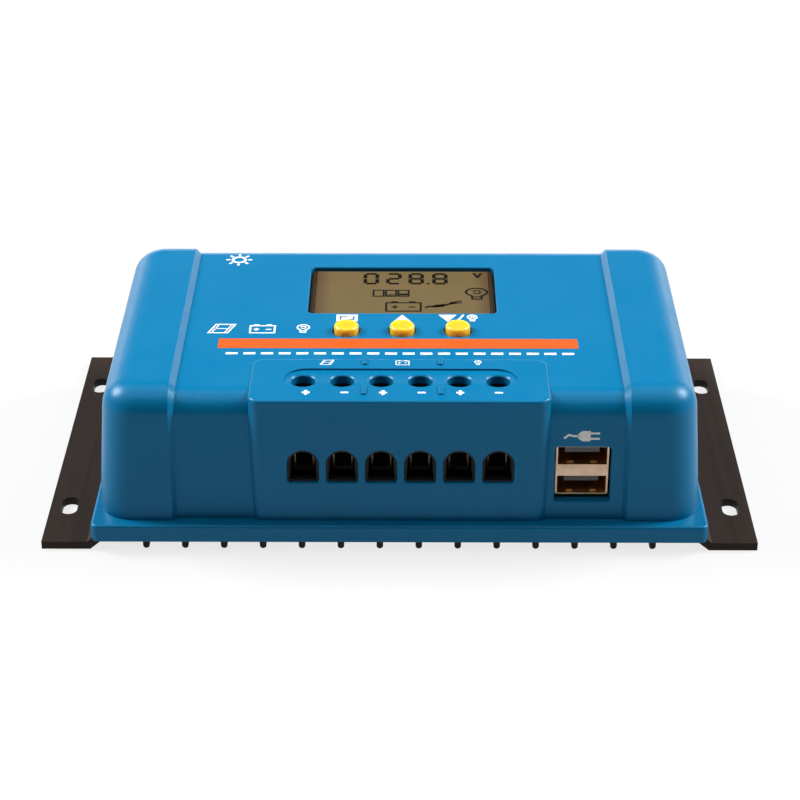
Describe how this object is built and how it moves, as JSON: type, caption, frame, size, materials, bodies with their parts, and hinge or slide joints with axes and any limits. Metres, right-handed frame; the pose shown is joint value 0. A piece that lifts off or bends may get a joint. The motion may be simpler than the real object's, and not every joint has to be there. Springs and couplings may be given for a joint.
{
  "type": "solar charge controller",
  "caption": "Wall-mounted solar charge controller: moulded case on a finned base, with screw terminals, display, buttons and USB sockets.",
  "frame": {"origin": "centre of the mounting plane, which is the underside of the two wings", "axes": "+Z away from the wall or table, +X from the left wing to the right wing with the USB sockets, -Y towards the wire entries"},
  "size_m": [0.184, 0.1028, 0.0434],
  "materials": {
    "extrusion": "dark bronze anodised, satin, with extrusion lines",
    "case_plastic": "moulded ABS, fine texture, satin blue",
    "display_glass": "liquid crystal cell with amber polariser",
    "light_guide": "white diffuser",
    "elastomer": "silicone, smooth",
    "circuit_board": "glass-epoxy with green solder mask",
    "black_plastic": "moulded, matt",
    "grey_plastic": "moulded, matt",
    "button_plastic": "moulded, satin yellow",
    "capacitor_sleeve": "shrink sleeve on an aluminium can",
    "ferrite": "painted powder core",
    "tinned_copper": "tinned, satin",
    "gold_contact": "gold flash",
    "nickel_steel": "nickel plated sheet",
    "zinc_steel": "zinc plated"
  },
  "bodies": {
    "case": {"heatsink_base": "extrusion", "upper_case": "case_plastic", "display_board": "circuit_board", "display_frame": "black_plastic", "display_glass": "display_glass", "light_guide": "light_guide", "contact_strips": "elastomer", "switch_cases": "black_plastic", "main_board": "circuit_board", "board_standoffs": "zinc_steel", "power_transistors": "black_plastic", "insulating_pads": "elastomer", "capacitors": "capacitor_sleeve", "choke": "ferrite", "shunt_strap": "tinned_copper", "controller_chip": "black_plastic", "usb_regulator": "black_plastic", "protection_diodes": "black_plastic", "link_pins": "tinned_copper", "link_foot": "black_plastic", "terminal_housing": "black_plastic", "terminal_contacts": "tinned_copper", "usb_shell": "nickel_steel", "usb_insulators": "grey_plastic", "usb_contacts": "gold_contact", "case_screws": "zinc_steel", "board_screws": "zinc_steel", "transistor_screws": "zinc_steel", "panel_screws": "zinc_steel"},
    "button_enter": {"button_enter": "button_plastic", "plunger_enter": "black_plastic"},
    "button_up": {"button_up": "button_plastic", "plunger_up": "black_plastic"},
    "button_down": {"button_down": "button_plastic", "plunger_down": "black_plastic"},
    "terminal_screw_1": {"terminal_screw_1": "zinc_steel"},
    "clamp_cage_1": {"clamp_cage_1": "zinc_steel"},
    "terminal_screw_2": {"terminal_screw_2": "zinc_steel"},
    "clamp_cage_2": {"clamp_cage_2": "zinc_steel"},
    "terminal_screw_3": {"terminal_screw_3": "zinc_steel"},
    "clamp_cage_3": {"clamp_cage_3": "zinc_steel"},
    "terminal_screw_4": {"terminal_screw_4": "zinc_steel"},
    "clamp_cage_4": {"clamp_cage_4": "zinc_steel"},
    "terminal_screw_5": {"terminal_screw_5": "zinc_steel"},
    "clamp_cage_5": {"clamp_cage_5": "zinc_steel"},
    "terminal_screw_6": {"terminal_screw_6": "zinc_steel"},
    "clamp_cage_6": {"clamp_cage_6": "zinc_steel"}
  },
  "joints": [
    {"name": "press_enter", "type": "slide", "parent": "case", "child": "button_enter", "axis": [0, 0, -1], "range_m": [0, 0.0005], "stiffness_N_per_m": 3200, "springref_m": -0.0002},
    {"name": "press_up", "type": "slide", "parent": "case", "child": "button_up", "axis": [0, 0, -1], "range_m": [0, 0.0005], "stiffness_N_per_m": 3200, "springref_m": -0.0002},
    {"name": "press_down", "type": "slide", "parent": "case", "child": "button_down", "axis": [0, 0, -1], "range_m": [0, 0.0005], "stiffness_N_per_m": 3200, "springref_m": -0.0002},
    {"name": "turn_screw_1", "type": "hinge", "parent": "case", "child": "terminal_screw_1", "pos_m": [-0.02445, -0.03635, 0.031], "axis": [0, 0, -1], "range_deg": [0, 1852]},
    {"name": "lift_cage_1", "type": "slide", "parent": "case", "child": "clamp_cage_1", "axis": [0, 0, 1], "range_m": [0, 0.0036]},
    {"name": "turn_screw_2", "type": "hinge", "parent": "case", "child": "terminal_screw_2", "pos_m": [-0.01455, -0.03635, 0.031], "axis": [0, 0, -1], "range_deg": [0, 1852]},
    {"name": "lift_cage_2", "type": "slide", "parent": "case", "child": "clamp_cage_2", "axis": [0, 0, 1], "range_m": [0, 0.0036]},
    {"name": "turn_screw_3", "type": "hinge", "parent": "case", "child": "terminal_screw_3", "pos_m": [-0.00465, -0.03635, 0.031], "axis": [0, 0, -1], "range_deg": [0, 1852]},
    {"name": "lift_cage_3", "type": "slide", "parent": "case", "child": "clamp_cage_3", "axis": [0, 0, 1], "range_m": [0, 0.0036]},
    {"name": "turn_screw_4", "type": "hinge", "parent": "case", "child": "terminal_screw_4", "pos_m": [0.00525, -0.03635, 0.031], "axis": [0, 0, -1], "range_deg": [0, 1852]},
    {"name": "lift_cage_4", "type": "slide", "parent": "case", "child": "clamp_cage_4", "axis": [0, 0, 1], "range_m": [0, 0.0036]},
    {"name": "turn_screw_5", "type": "hinge", "parent": "case", "child": "terminal_screw_5", "pos_m": [0.01515, -0.03635, 0.031], "axis": [0, 0, -1], "range_deg": [0, 1852]},
    {"name": "lift_cage_5", "type": "slide", "parent": "case", "child": "clamp_cage_5", "axis": [0, 0, 1], "range_m": [0, 0.0036]},
    {"name": "turn_screw_6", "type": "hinge", "parent": "case", "child": "terminal_screw_6", "pos_m": [0.02505, -0.03635, 0.031], "axis": [0, 0, -1], "range_deg": [0, 1852]},
    {"name": "lift_cage_6", "type": "slide", "parent": "case", "child": "clamp_cage_6", "axis": [0, 0, 1], "range_m": [0, 0.0036]}
  ],
  "couplings": [
    {"joint": "turn_screw_1", "follows": "lift_cage_1", "rad_per_m": 8976},
    {"joint": "turn_screw_2", "follows": "lift_cage_2", "rad_per_m": 8976},
    {"joint": "turn_screw_3", "follows": "lift_cage_3", "rad_per_m": 8976},
    {"joint": "turn_screw_4", "follows": "lift_cage_4", "rad_per_m": 8976},
    {"joint": "turn_screw_5", "follows": "lift_cage_5", "rad_per_m": 8976},
    {"joint": "turn_screw_6", "follows": "lift_cage_6", "rad_per_m": 8976}
  ]
}
